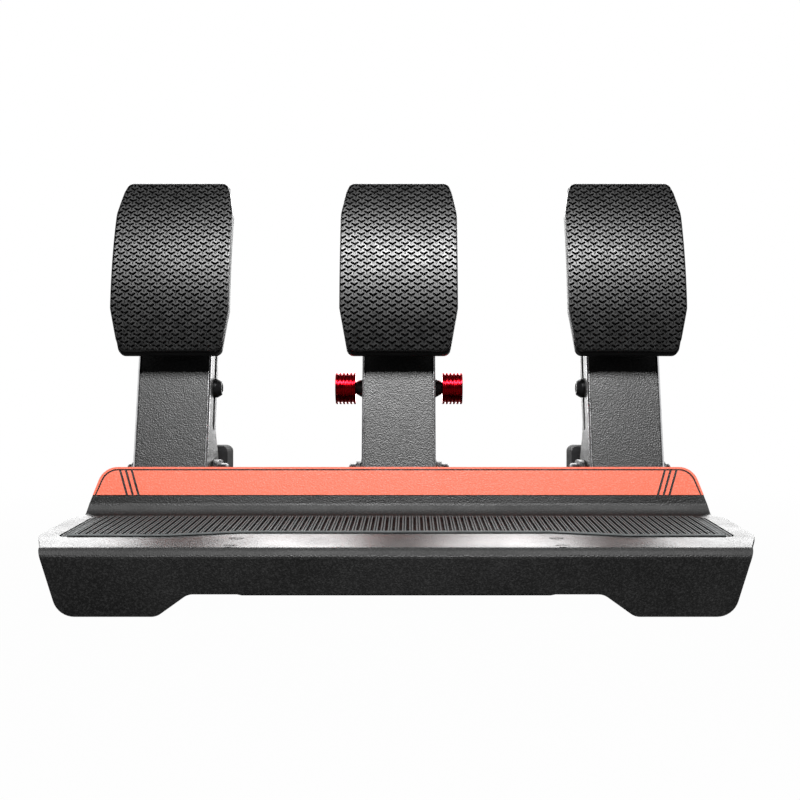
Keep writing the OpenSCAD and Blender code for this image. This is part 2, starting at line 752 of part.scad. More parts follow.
// Electronics
box_x = -(ear_out + cap_t + box_gap + box_w / 2);
function rounded_box(w, h, r) = rounded([[0, 0, r], [w, 0, r], [w, h, r], [0, h, r]]);
module controller_block(h) translate([box_x - box_w / 2, box_front, 0])
  linear_extrude(h) polygon(rounded_box(box_w, box_len, box_corner_r));
module controller_housing() color(grey) set() difference() {
  translate([0, 0, plate_top]) controller_block(box_h - lid_t);
  translate([box_x - socket_w / 2, box_front + box_len - socket_depth, plate_top + socket_low])
    cube([socket_w, socket_depth + 1, socket_h]);
}
module controller_lid() color(black) set() {
  translate([0, 0, plate_top + box_h - lid_t]) controller_block(lid_t);
}
module cable_socket() color(steel) set() {
  translate([box_x, box_front + box_len - socket_depth, plate_top + socket_low]) difference() {
    translate([-socket_w / 2, 0, 0]) cube([socket_w, socket_depth, socket_h]);
    translate([-socket_w / 2 + socket_wall, socket_wall, socket_wall])
      cube([socket_w - 2 * socket_wall, socket_depth, socket_h - 2 * socket_wall]);
  }
}
module sensor_housing(p) color(grey) at_pedal(p) difference() {
  union() {
    intersection() {
      along_y(sensor_y, sensor_y + sensor_len) translate([p[1] * sensor_mid, plate_top]) polygon(rounded([
        [-sensor_w / 2, 0], [sensor_w / 2, 0], [sensor_w / 2, sensor_top - plate_top, sensor_corner_r],
        [-sensor_w / 2, sensor_top - plate_top, sensor_corner_r]]));
      along_x(-big, big) polygon(rounded([
        [sensor_y, 0], [sensor_y + sensor_len, 0], [sensor_y + sensor_len, sensor_top, sensor_corner_r],
        [sensor_y, sensor_top, sensor_corner_r]]));
    }
    translate([p[1] * sensor_mid - sensor_w / 2, sensor_y + sensor_len - 1, plate_top])
      cube([sensor_w, sensor_foot + 1, sensor_foot_t]);
  }
  translate([p[1] * sensor_mid, sensor_foot_y, 0]) cylinder(r = bolt_r + bolt_gap, h = big);
}

// Pivot brackets and rear towers: a U of sheet, cut to a side outline
module u_bracket(inside, t, outline) {
  top = big / 2;
  intersection() {
    along_y(0, big) polygon(sheet([
      [inside + t, top], [inside + t, plate_top, t + inner_bend],
      [-inside - t, plate_top, t + inner_bend], [-inside - t, top]], t));
    along_x(-big, big) polygon(rounded(outline));
  }
}
module bracket(p) color(black) {
  difference() {
    at_pedal(p) u_bracket(ear_in, ear_t, [
      [pivot_y - ear_front, 0], [pivot_y - ear_front, pivot_z - ear_shoulder, ear_corner_r],
      [pivot_y - ear_crown / 2, pivot_z + ear_top, ear_crown_r],
      [pivot_y + ear_crown / 2, pivot_z + ear_top, ear_crown_r],
      [pivot_y + ear_rear, pivot_z - ear_shoulder, ear_corner_r], [pivot_y + ear_rear, 0]]);
    at_pedal(p) translate([0, pivot_y, pivot_z]) rod_x(shaft_r + fit, -big, big);
    set() base_bolt_holes();
  }
}
module tower(p) color(black) {
  difference() {
    at_strut(p) u_bracket(tower_gap / 2, tower_t, [
      [trunnion_y - tower_len / 2, 0],
      [trunnion_y - tower_len / 2, plate_top + tower_foot_h, tower_r],
      [trunnion_y - tower_r, trunnion_z + tower_r, tower_r * full_round],
      [trunnion_y + tower_r, trunnion_z + tower_r, tower_r * full_round],
      [trunnion_y + tower_len / 2, plate_top + tower_foot_h, tower_r],
      [trunnion_y + tower_len / 2, 0]]);
    at_pedal(p) translate([0, trunnion_y, trunnion_z]) rod_x(shaft_r + fit, -big, big);
    set() base_bolt_holes();
  }
}
module pivot_shaft(p) color(black) at_pedal(p) translate([0, pivot_y, pivot_z]) {
  rod_x(shaft_r, -ear_out, ear_out);
  mirror_copies() translate([ear_out, 0, 0]) rotate([0, 90, 0]) difference() {
    rotate_extrude() polygon([
      [0, 0], [cap_r, 0], [cap_r, cap_t - cap_chamfer], [cap_r - cap_chamfer, cap_t], [0, cap_t]]);
    translate([0, 0, cap_t / 2]) cylinder(r = shaft_r * hex_share, h = cap_t, $fn = 6);
  }
}

// Pedal arm: a U channel cut to a side outline
arm_section = sheet([
  [arm_w / 2, boss_r + 1], [arm_w / 2, -face_off, arm_bend_r],
  [-arm_w / 2, -face_off, arm_bend_r], [-arm_w / 2, boss_r + 1]], arm_t);
arm_outline = rounded([
  [-face_off - 1, -web_drop],
  [-face_off + arm_toe, -web_drop, arm_toe],
  [-boss_r, -boss_r, boss_r / 2], [boss_r, -boss_r, boss_r * full_round], [boss_r, boss_r, boss_r / 2],
  [pin_local.x + arm_waist, pin_rise / 2 + boss_r / 4, boss_r],
  [pin_local.x + lug_r, pin_rise - lug_r, lug_r], [pin_local.x + lug_r, pin_rise + lug_r, lug_r],
  [-face_off + arm_upper, pin_rise + 3 * lug_r, boss_r],
  [-face_off + arm_tip, arm_top, arm_tip / 3], [-face_off - 1, arm_top]]);
slot_half = pin_r + fit;
arm_slot = rounded([for (c = [[-1, -1], [1, -1], [1, 1], [-1, 1]])
  [pin_local.x + c.x * slot_half, pin_rise + c.y * slot_len / 2, slot_half * full_round]]);
module pad_bolt_places() {
  for (x = [-1, 1], z = [-1, 1])
    translate([x * pad_bolt_dx / 2, -face_off, pad_rise + z * pad_bolt_dz / 2])
      rotate([90, 0, 0]) children();
}
module arm(p) color(black) on_arm(p) difference() {
  intersection() {
    translate([0, 0, -web_drop - boss_r]) linear_extrude(arm_top + web_drop + boss_r) polygon(arm_section);
    along_x(-arm_w, arm_w) polygon(arm_outline);
  }
  rod_x(bush_r + fit, -arm_w, arm_w);
  along_x(-arm_w, arm_w) polygon(arm_slot);
  mirror_copies() translate([arm_w / 2 - rim_w - rim_groove_w, -face_off - 1, -big / 2])
    cube([rim_groove_w, rim_groove_d + 1, big]);
  pad_bolt_places() translate([0, 0, -2 * arm_t]) cylinder(r = pad_bolt_r + bolt_gap, h = 3 * arm_t);
}
module pivot_bush(p) color(steel) on_arm(p) difference() {
  reach = ear_in - bush_side_gap;
  rod_x(bush_r, -reach, reach);
  rod_x(shaft_r + fit, -big, big);
}
module button_head() rotate([0, 90, 0]) difference() {
  rotate_extrude() polygon(rounded([
    [0, 0], [head_r, 0], [head_r, head_edge], [head_flat_r, head_h, head_h / 3], [0, head_h]]));
  translate([0, 0, head_h / 2]) cylinder(r = pin_r * hex_share, h = head_h, $fn = 6);
}
module on_pin(p) on_arm(p) translate([0, pin_local.x, pin_local.y]) children();
module cross_pin(p) color(black) on_pin(p) {
  rod_x(pin_r, -arm_w / 2, arm_w / 2);
  translate([p[1] * arm_w / 2, 0, 0]) mirror([p[1] < 0 ? 1 : 0, 0, 0]) button_head();
}
module brake_pin() color(black) on_pin(BRAKE) {
  reach = arm_w / 2 + knob_off + knob_len - 2 * knob_floor;
  rod_x(pin_r, -reach, reach);
  mirror_copies() translate([arm_w / 2, 0, 0]) rotate([0, 90, 0])
    cylinder(r1 = cone_r, r2 = pin_r + knob_floor / 4, h = knob_off - rest_gap);
}

// Finned thumb knob: discs on a core, with a blind bore for the cross pin
fin_pitch = (knob_len + fin_gap) / knob_fins;
knob_profile = concat(
  [[0, 0]],
  [for (k = [0 : knob_fins - 1]) each [
    [knob_r - fin_depth, k * fin_pitch], [knob_r - fin_edge, k * fin_pitch],
    [knob_r, k * fin_pitch + fin_edge], [knob_r, (k + 1) * fin_pitch - fin_gap - fin_edge],
    [knob_r - fin_edge, (k + 1) * fin_pitch - fin_gap],
    [knob_r - fin_depth, (k + 1) * fin_pitch - fin_gap]]],
  [[knob_dish_r, knob_len], [knob_dish_r - 1, knob_len - 1], [0, knob_len - 1]]);
module knob(side) color(red) on_pin(BRAKE) mirror([side < 0 ? 1 : 0, 0, 0])
  translate([arm_w / 2 + knob_off, 0, 0]) rotate([0, 90, 0]) difference() {
    rotate_extrude() polygon(knob_profile);
    translate([0, 0, -1]) cylinder(r = pin_r + fit, h = knob_len - 1.5 * knob_floor + 1);
  }

// Pads: shells of one cylinder, cut to the pad's outline
function pad_outline(lip) = rounded(mirrored([
  [-pad_top_w / 2, pad_half, pad_corner_r],
  [-pad_w / 2, pad_half - pad_top_taper, 2 * pad_corner_r],
  [-pad_w / 2, -pad_half + pad_bottom_taper, 2 * pad_corner_r],
  [-pad_bottom_w / 2, -pad_half - lip, pad_corner_r]]));
module pad_shell(outer, inner, lip) intersection() {
  difference() {
    rod_x(outer, -pad_w, pad_w);
    rod_x(inner, -big, big);
  }
  along_y(-big, 0) polygon(pad_outline(lip));
}
module pad_grip(p) color(rubber) on_pad(p) pad_shell(pad_r, pad_r - grip_t, 0, $fn = 96);
module pad_plate(p) color(grey) difference() {
  on_pad(p) pad_shell(pad_r - grip_t, pad_back_r, pad_lip, $fn = 96);
  on_arm(p) pad_bolt_places() cylinder(r = pad_bolt_r + bolt_gap, h = pad_gap + pad_plate_t + grip_t / 4);
}
module pad_mount(p) color(black) on_arm(p) difference() {
  intersection() {
    along_y(-face_off - 2 * pad_gap, -face_off) translate([-mount_w / 2, pad_rise - mount_len / 2])
      polygon(rounded_box(mount_w, mount_len, pad_corner_r));
    translate([0, pad_centre.x, pad_centre.y]) rod_x(pad_back_r, -big, big);
  }
  pad_bolt_places() translate([0, 0, -1]) cylinder(r = pad_bolt_r + bolt_gap, h = 3 * pad_gap);
  along_y(-big, big) translate([-mount_window_w / 2, pad_rise - pad_bolt_dz / 2 + pad_corner_r])
    polygon(rounded_box(mount_window_w, pad_bolt_dz - 2 * pad_corner_r, mount_window_w / 3));
}
pad_bolt_reach = pad_gap - pad_back_r + sqrt(pow(pad_back_r, 2) - pow(pad_bolt_dz / 2, 2)) + pad_bolt_bite;
module pad_bolts(p) color(steel) on_arm(p) pad_bolt_places() {
  translate([0, 0, -arm_t]) cylinder(r = pad_bolt_r, h = arm_t + pad_bolt_reach);
  translate([0, 0, -arm_t - pad_bolt_r]) cylinder(r = 2 * pad_bolt_r, h = pad_bolt_r);
}

// Struts
module strut_rod(p) color(steel) on_strut(p) difference() {
  reach = arm_w / 2 - arm_t - eye_side_gap;
  union() {
    translate([p[1] * strut_off, 0, 0]) rod_x(eye_r, -reach, reach);
    cylinder(r = rod_r, h = nut_at + nut_t + rod_tail);
    translate([0, 0, collar_at]) cylinder(r = collar_r, h = collar_t);
  }
  rod_x(pin_r + fit, -big, big);
}
module strut_nut(p) color(steel) on_strut(p) translate([0, 0, nut_at]) difference() {
  cylinder(r = nut_r, h = nut_t, $fn = 6);
  translate([0, 0, -1]) cylinder(r = rod_r + fit, h = nut_t + 2);
}
module trunnion(p) color(steel) on_strut(p) translate([0, 0, strut_len]) difference() {
  half = tower_gap / 2 - eye_side_gap;
  union() {
    intersection() {
      rod_x(barrel_r, -half, half);
      translate([-big, -big, -barrel_flat]) cube([2 * big, 2 * big, 2 * barrel_flat]);
    }
    translate([0, 0, -barrel_flat]) cylinder(r = seat_r, h = seat_t);
    rod_x(shaft_r, -tower_gap / 2 - tower_t - 1, tower_gap / 2 + tower_t + 1);
  }
  translate([0, 0, -big]) cylinder(r = rod_r + guide_gap, h = 2 * big);
}

// Coil spring: one wire along [turn, height] steps, standing square on its seats at both ends
lead = wire_d / 2;
lead_turn = 45;
coil_steps = concat(
  [[0, seat_front], [0, seat_front + wire_d]],
  [for (k = [1 : 2]) [lead_turn * pow(k / 2, 2), seat_front + wire_d + lead * k / 2]],
  [for (k = [1 : 8 * curls - 2], u = [k / (8 * curls - 1)])
    [lead_turn + u * (360 * curls - 2 * lead_turn),
     (1 - u) * (seat_front + wire_d + lead) + u * (seat_rear - wire_d - lead)]],
  [for (k = [2 : -1 : 1]) [360 * curls - lead_turn * pow(k / 2, 2), seat_rear - wire_d - lead * k / 2]],
  [[360 * curls, seat_rear - wire_d], [360 * curls, seat_rear]]);
coil_points = [for (c = coil_steps) [coil_r * cos(c[0]), coil_r * sin(c[0]), c[1]]];
coil_gap = min([for (i = [0 : len(coil_points) - 7], j = [i + 6 : len(coil_points) - 1])
  norm(coil_points[i] - coil_points[j])]) - wire_d;
echo(coil_gap = coil_gap);
wire_sides = 6;
function wire_ring(i) =
  let (last = len(coil_points) - 1,
       t = unit(coil_points[min(i + 1, last)] - coil_points[max(i - 1, 0)]),
       n = [cos(coil_steps[i][0]), sin(coil_steps[i][0]), 0],
       b = unit(cross(t, n)))
  [for (s = [0 : wire_sides - 1], a = [360 * s / wire_sides])
    coil_points[i] + wire_d / 2 * (cos(a) * n + sin(a) * b)];
module spring(p) color(steel) on_strut(p) {
  m = wire_sides;
  last = len(coil_points) - 1;
  polyhedron(
    points = [for (i = [0 : last]) each wire_ring(i)],
    faces = concat(
      [for (s = [1 : m - 2]) [0, s, s + 1]],
      [for (i = [0 : last - 1], s = [0 : m - 1], q = [(s + 1) % m])
        each [[i * m + s, (i + 1) * m + s, (i + 1) * m + q], [i * m + s, (i + 1) * m + q, i * m + q]]],
      [for (s = [1 : m - 2]) [last * m, last * m + s + 1, last * m + s]]));
}

// Brake: lobed elastomer bumper against a ring load cell
cell_at = strut_len - barrel_flat - cell_t;
bumper_len = cell_at - rest_gap - seat_front;
lobe_len = bumper_len / bumper_lobes;
bumper_profile = concat(
  [[rod_r + guide_gap, 0]],
  [for (k = [0 : bumper_lobes - 1], a = [0 : 180 / arc_steps : 180])
    [bumper_r - bumper_groove + bumper_groove * sin(a), lobe_len * (k + (1 - cos(a)) / 2)]],
  [[rod_r + guide_gap, bumper_len]]);
module bumper() color(wine) on_strut(BRAKE) {
  translate([0, 0, seat_front]) rotate_extrude() polygon(bumper_profile);
}
module load_cell() color(steel) on_strut(BRAKE) translate([0, 0, cell_at]) {
  ring(cell_r, rod_r + guide_gap, cell_t);
  translate([-cell_plug / 2, -cell_r - cell_plug / 2, (cell_t - cell_plug) / 2])
    cube([cell_plug, cell_plug, cell_plug]);
}

base_plate();
base_feet();
heel_plate();
mat_tray();
heel_mat();
heel_posts();
heel_screws();
riser_brackets();
accent_band();
base_bolts();
controller_housing();
controller_lid();
cable_socket();
bracket(CLUTCH);  // clutch_bracket
pivot_shaft(CLUTCH);  // clutch_pivot_shaft
tower(CLUTCH);  // clutch_tower
arm(CLUTCH);  // clutch_arm
pivot_bush(CLUTCH);  // clutch_pivot_bush
cross_pin(CLUTCH);  // clutch_cross_pin
pad_mount(CLUTCH);  // clutch_pad_mount
pad_plate(CLUTCH);  // clutch_pad_plate
pad_grip(CLUTCH);  // clutch_pad_grip
pad_bolts(CLUTCH);  // clutch_pad_bolts
strut_rod(CLUTCH);  // clutch_strut_rod
strut_nut(CLUTCH);  // clutch_strut_nut
trunnion(CLUTCH);  // clutch_trunnion
spring(CLUTCH);  // clutch_spring
sensor_housing(CLUTCH);  // clutch_sensor_housing
bracket(BRAKE);  // brake_bracket
pivot_shaft(BRAKE);  // brake_pivot_shaft
tower(BRAKE);  // brake_tower
arm(BRAKE);  // brake_arm
pivot_bush(BRAKE);  // brake_pivot_bush
brake_pin();  // brake_cross_pin
pad_mount(BRAKE);  // brake_pad_mount
pad_plate(BRAKE);  // brake_pad_plate
pad_grip(BRAKE);  // brake_pad_grip
pad_bolts(BRAKE);  // brake_pad_bolts
strut_rod(BRAKE);  // brake_strut_rod
strut_nut(BRAKE);  // brake_strut_nut
trunnion(BRAKE);  // brake_trunnion
bumper();  // brake_bumper
load_cell();  // brake_load_cell
knob(-1);  // brake_knob_left
knob(1);  // brake_knob_right
bracket(THROTTLE);  // throttle_bracket
pivot_shaft(THROTTLE);  // throttle_pivot_shaft
tower(THROTTLE);  // throttle_tower
arm(THROTTLE);  // throttle_arm
pivot_bush(THROTTLE);  // throttle_pivot_bush
cross_pin(THROTTLE);  // throttle_cross_pin
pad_mount(THROTTLE);  // throttle_pad_mount
pad_plate(THROTTLE);  // throttle_pad_plate
pad_grip(THROTTLE);  // throttle_pad_grip
pad_bolts(THROTTLE);  // throttle_pad_bolts
strut_rod(THROTTLE);  // throttle_strut_rod
strut_nut(THROTTLE);  // throttle_strut_nut
trunnion(THROTTLE);  // throttle_trunnion
spring(THROTTLE);  // throttle_spring
sensor_housing(THROTTLE);  // throttle_sensor_housing
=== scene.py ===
"""Dressed model of the pedal set: studio, finishes, treads, edge strips, springs and bumper."""
import json
from math import ceil, cos, pi, radians, sin, sqrt, tan

import bmesh
import bpy
from mathutils import Matrix, Vector


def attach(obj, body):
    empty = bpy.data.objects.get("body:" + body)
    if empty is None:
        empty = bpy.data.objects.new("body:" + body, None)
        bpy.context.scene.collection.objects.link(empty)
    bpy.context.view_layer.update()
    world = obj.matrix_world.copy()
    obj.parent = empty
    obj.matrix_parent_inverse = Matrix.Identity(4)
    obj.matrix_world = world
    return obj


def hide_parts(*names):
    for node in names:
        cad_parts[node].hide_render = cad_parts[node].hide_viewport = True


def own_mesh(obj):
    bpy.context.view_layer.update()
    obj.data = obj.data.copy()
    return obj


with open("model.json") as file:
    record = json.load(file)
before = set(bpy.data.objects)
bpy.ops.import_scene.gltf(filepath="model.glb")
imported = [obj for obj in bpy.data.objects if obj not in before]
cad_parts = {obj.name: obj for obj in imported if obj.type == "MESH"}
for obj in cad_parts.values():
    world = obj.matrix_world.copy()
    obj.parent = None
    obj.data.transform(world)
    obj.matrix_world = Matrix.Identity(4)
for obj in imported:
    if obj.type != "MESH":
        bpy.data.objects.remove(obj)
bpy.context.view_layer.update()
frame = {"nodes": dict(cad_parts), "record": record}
nodes = frame["nodes"]

MM = 0.001  # lengths below are in mm, apart from the studio's
PEDALS = {"clutch": -159.0, "brake": 0.0, "throttle": 159.0}  # middle of each pedal


# Shader nodes

NOISE_ROUGHNESS = 0.6
NOISE_LOW = 0.3  # most of a noise lies between these
NOISE_HIGH = 0.7
MIX_DARK = 6  # sockets of a colour mix
MIX_LIGHT = 7
MIX_RESULT = 2


def opaque(colour):
    return (*colour, 1.0)


def shade(colour, factor):
    return tuple(c * factor for c in colour)


class Tree:
    """The node tree of a material or a world, and short ways to add nodes to it."""

    def __init__(self, owner):
        owner.use_nodes = True
        self.tree = owner.node_tree

    def join(self, value, socket):
        """Links an output to a socket, or sets the socket to a plain value."""
        if isinstance(value, bpy.types.NodeSocket):
            self.tree.links.new(value, socket)
        else:
            socket.default_value = value

    def add(self, kind, *values, out=0, fields=None, **named):
        """An output of a new node: values fill its first sockets, named ones fill others."""
        node = self.tree.nodes.new(kind)
        for name, value in (fields or {}).items():
            setattr(node, name, value)
        for i, value in enumerate(values):
            self.join(value, node.inputs[i])
        for name, value in named.items():
            self.join(value, node.inputs[name])
        return node.outputs[out]

    def math(self, operation, a, b):
        return self.add("ShaderNodeMath", a, b, fields={"operation": operation})

    def dot(self, vector, direction):
        fields = {"operation": "DOT_PRODUCT"}
        return self.add("ShaderNodeVectorMath", vector, direction, out="Value", fields=fields)

    def ranged(self, value, low=0.0, high=1.0, start=NOISE_LOW, end=NOISE_HIGH):
        """Goes from low to high as the value goes from start to end."""
        return self.add("ShaderNodeMapRange", value, start, end, low, high)


class Surface(Tree):
    """A material with a Principled shader."""

    def __init__(self, name, colour, rough, metal=0.0, spec=0.5):
        self.mat = bpy.data.materials.new(name)
        super().__init__(self.mat)
        self.shader = self.tree.nodes["Principled BSDF"]
        self.give("Base Color", opaque(colour))
        self.give("Roughness", rough)
        self.give("Metallic", metal)
        self.give("Specular IOR Level", spec)
        self.coords = self.add("ShaderNodeTexCoord", out="Object")
        self.normal = self.coords.node.outputs["Normal"]

    def give(self, name, value):
        self.join(value, self.shader.inputs[name])

    def stretched(self, scale):
        return self.add("ShaderNodeMapping", self.coords, Scale=scale)

    def noise(self, grain_mm, detail, coords=None):
        return self.add("ShaderNodeTexNoise", Vector=coords or self.coords, Detail=detail,
                        Scale=1.0 / (grain_mm * MM), Roughness=NOISE_ROUGHNESS)

    def spots(self, size_mm):
        return self.add("ShaderNodeTexVoronoi", Vector=self.coords, Scale=1.0 / (size_mm * MM))

    def axis(self, vector, name):
        return self.add("ShaderNodeSeparateXYZ", vector, out=name)

    def across_x(self, pitch_mm):
        """0 in the middle of the set and at each pitch from it, 1 halfway between."""
        half = pitch_mm * MM / 2.0
        return self.ranged(self.math("PINGPONG", self.axis(self.coords, "X"), half),
                           start=0.0, end=half)

    def graded(self, factor, stops, tone=(1.0, 1.0, 1.0)):
        """A value by stops along a factor, as a colour of the given tone."""
        colour = self.add("ShaderNodeValToRGB", factor, out="Color")
        ramp = colour.node.color_ramp
        ramp.elements.remove(ramp.elements[1])
        for i, (place, value) in enumerate(stops):
            stop = ramp.elements[0] if i == 0 else ramp.elements.new(place)
            stop.position = place
            stop.color = opaque(shade(tone, value))
        return colour

    def tint(self, factor, dark, light):
        mixed = self.add("ShaderNodeMix", factor, out=MIX_RESULT, fields={"data_type": "RGBA"})
        mixed.node.inputs[MIX_DARK].default_value = opaque(dark)
        mixed.node.inputs[MIX_LIGHT].default_value = opaque(light)
        self.give("Base Color", mixed)

    def drift(self, colour, pattern, dark, light):
        """Tone that drifts between two shades of the colour."""
        self.tint(self.ranged(pattern), shade(colour, dark), shade(colour, light))

    def gloss(self, rough, pattern, less, more):
        """Roughness that varies with a pattern."""
        self.give("Roughness", self.ranged(pattern, rough - less, rough + more))

    def bump(self, height, depth_mm):
        self.give("Normal", self.add("ShaderNodeBump", Height=height, Distance=depth_mm * MM))


# Finishes

BLACK = (0.003, 0.003, 0.0032)
# colour of the specks: painted glints on the coat's grain
GLINT_SPECK = (0.018, 0.018, 0.018)
RIB_PITCH = 4.35  # ribs of the mat
RIB_TONE = (0.93, 1.0, 1.01)
RIB_LIGHT_AND_SHADE_STOPS = [  # painted highlight and painted shade, from the middle of a rib to the middle of a groove
    (0.0, 0.012), (0.10, 0.012), (0.22, 0.120), (0.52, 0.135), (0.66, 0.008), (0.80, 0.001),
]
SCUFFS = [  # roughness by the upward part of the normal: upright faces, bends, level faces
    (0.0, 0.40), (0.26, 0.40), (0.40, 0.66), (0.93, 0.66), (0.99, 0.42),
]
SPECK_GRAIN = 1.4  # size of specks, in grains of the peel
SPECK_START = 0.46  # the share of the noise that shows as specks, which are painted glints of the grain
SPECK_END = 0.70
MARK_LESS = 0.05  # handling marks in the gloss of a coat
MARK_MORE = 0.07


def coated(name, colour, glint_speck, rough, spec, grain_mm, depth_mm, crown=0.0, scuffs=None):
    """Powder coat: orange peel, pale specks of its grain painted as glints, and handling marks.

    Level faces are shaded as if they leaned by crown degrees more. With scuffs, the gloss
    goes by the direction of the face.
    """
    s = Surface(name, colour, rough, spec=spec)
    glint_specks = s.noise(SPECK_GRAIN * grain_mm, detail=2.0)
    # painted glints: paler specks over the coat's colour
    s.tint(s.ranged(glint_specks, start=SPECK_START, end=SPECK_END), colour, glint_speck)
    marks = s.noise(grain_mm=45.0, detail=4.0)
    if scuffs:
        by_face = s.graded(s.axis(s.normal, "Z"), scuffs)
        s.give("Roughness", s.math("ADD", by_face, s.ranged(marks, -MARK_LESS, MARK_MORE)))
    else:
        s.gloss(rough, marks, MARK_LESS, MARK_MORE)
    lean = s.dot(s.coords, (0.0, tan(radians(crown)) / (depth_mm * MM), 0.0))
    s.bump(s.math("ADD", s.noise(grain_mm, detail=0.0), lean), depth_mm)
    return s.mat


def rubber(name, colour, rough, spec, grain_mm=0.5, depth_mm=0.03):
    """Moulded rubber: dull skin with a fine grain and slightly dusty patches."""
    s = Surface(name, colour, rough, spec=spec)
    s.drift(colour, s.noise(grain_mm=14.0, detail=5.0), dark=0.8, light=1.3)
    s.gloss(rough, s.noise(grain_mm=6.0, detail=4.0), less=0.06, more=0.08)
    s.bump(s.noise(grain_mm, detail=3.0), depth_mm)
    return s.mat


def ribbed(name, rough, spec):
    """The mat's rubber: painted highlights along its ribs, and painted shade in their fine lines
    and between them.
    """
    s = Surface(name, RIB_TONE, rough, spec=spec)
    # painted highlight on the rib tops, painted shade in the fine lines and the grooves
    s.give("Base Color", s.graded(s.across_x(RIB_PITCH), RIB_LIGHT_AND_SHADE_STOPS, RIB_TONE))
    s.gloss(rough, s.noise(grain_mm=6.0, detail=4.0), less=0.06, more=0.08)
    s.bump(s.noise(grain_mm=0.5, detail=3.0), depth_mm=0.03)
    return s.mat


def anodised(name, colour, rough, metal, spec=0.5):
    """Blasted and anodised alloy: even sparkle with a little tone drift."""
    s = Surface(name, colour, rough, metal, spec)
    s.drift(colour, s.noise(grain_mm=22.0, detail=3.0), dark=0.85, light=1.15)
    s.gloss(rough, s.noise(grain_mm=3.0, detail=4.0), less=0.05, more=0.06)
    s.bump(s.noise(grain_mm=0.25, detail=2.0), depth_mm=0.012)
    return s.mat


def turned(name, colour, rough, metal=1.0, along=(1.0, 0.05, 0.05)):
    """Turned or ground metal: fine lines across the given stretch, with soft tone drift."""
    s = Surface(name, colour, rough, metal)
    lines = s.noise(grain_mm=0.35, detail=3.0, coords=s.stretched(along))
    s.drift(colour, lines, dark=0.8, light=1.1)
    s.gloss(rough, s.noise(grain_mm=5.0, detail=4.0), less=0.06, more=0.08)
    s.bump(lines, depth_mm=0.01)
    return s.mat


def moulded(name, colour, rough, spec):
    """Spark-textured plastic."""
    s = Surface(name, colour, rough, spec=spec)
    s.drift(colour, s.noise(grain_mm=9.0, detail=3.0), dark=0.85, light=1.15)
    s.gloss(rough, s.noise(grain_mm=1.2, detail=3.0), less=0.06, more=0.06)
    s.bump(s.spots(size_mm=0.7), depth_mm=0.03)
    return s.mat


FINISHES = {
    "powder_coat": (coated, dict(
        colour=BLACK, glint_speck=GLINT_SPECK, rough=0.40, spec=0.78, grain_mm=0.8, depth_mm=0.18)),
    # the arms' black coat, its colour painted ten times darker as painted shade on the heel
    # plate's front wall
    "heel_coat": (coated, dict(
        colour=(0.0003, 0.0003, 0.0003), glint_speck=GLINT_SPECK, rough=0.40, spec=0.76, grain_mm=0.8,
        depth_mm=0.13, crown=5.0, scuffs=SCUFFS)),
    "accent_paint": (coated, dict(
        colour=(0.86, 0.165, 0.090), glint_speck=(1.00, 0.229, 0.152), rough=0.42, spec=0.50,
        grain_mm=0.8, depth_mm=0.14)),
    "mat_rubber": (ribbed, dict(rough=0.60, spec=0.04)),
    "mat_edge": (rubber, dict(colour=(0.102, 0.110, 0.111), rough=0.60, spec=0.04)),
    "black_oxide": (anodised, dict(
        colour=(0.030, 0.030, 0.031), rough=0.70, metal=0.0, spec=0.0)),
    "tread_rubber": (rubber, dict(colour=BLACK, rough=0.38, spec=1.00)),
    "foot_rubber": (rubber, dict(colour=(0.012, 0.012, 0.012), rough=0.60, spec=0.35)),
    "pad_alloy": (anodised, dict(colour=(0.020, 0.020, 0.021), rough=0.45, metal=0.3)),
    "cast_alloy": (anodised, dict(colour=(0.14, 0.14, 0.145), rough=0.45, metal=0.8)),
    "dark_steel": (turned, dict(colour=(0.030, 0.030, 0.032), rough=0.38, metal=0.6)),
    "bright_steel": (turned, dict(colour=(0.68, 0.68, 0.69), rough=0.26)),
    "spring_steel": (turned, dict(
        colour=(0.42, 0.43, 0.45), rough=0.28, along=(0.3, 0.3, 0.3))),
    "bronze": (turned, dict(colour=(0.50, 0.32, 0.13), rough=0.35)),
    "red_anodised": (turned, dict(colour=(0.62, 0.006, 0.014), rough=0.20)),
    "elastomer": (rubber, dict(
        colour=(0.46, 0.05, 0.028), rough=0.38, spec=0.5, grain_mm=0.8, depth_mm=0.02)),
    "housing_plastic": (moulded, dict(colour=(0.030, 0.030, 0.031), rough=0.75, spec=0.1)),
}


def finishes():
    return {name: make(name, **values) for name, (make, values) in FINISHES.items()}


# Meshes and objects

def as_mesh(name, mesh_data):
    mesh = bpy.data.meshes.new(name)
    bmesh.ops.recalc_face_normals(mesh_data, faces=mesh_data.faces)
    mesh_data.to_mesh(mesh)
    mesh_data.free()
    return mesh


def add_object(name, data):
    made = bpy.data.objects.new(name, data)
    bpy.context.scene.collection.objects.link(made)
    return made


def as_piece(mesh, body, material):
    mesh.materials.clear()
    mesh.materials.append(material)
    piece = add_object(mesh.name, mesh)
    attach(piece, body)
    return piece


def bridge(mesh_data, loop_a, loop_b, smooth):
    """Quads between two closed loops with as many points each."""
    count = len(loop_a)
    for i in range(count):
        j = (i + 1) % count
        face = mesh_data.faces.new((loop_a[i], loop_a[j], loop_b[j], loop_b[i]))
        face.smooth = smooth


def tube(mesh_data, rings, smooth):
    """Quads from ring to ring, and a face on each end."""
    for ring_a, ring_b in zip(rings, rings[1:]):
        bridge(mesh_data, ring_a, ring_b, smooth)
    for end in (rings[0], rings[-1]):
        mesh_data.faces.new(end)


# Pad treads

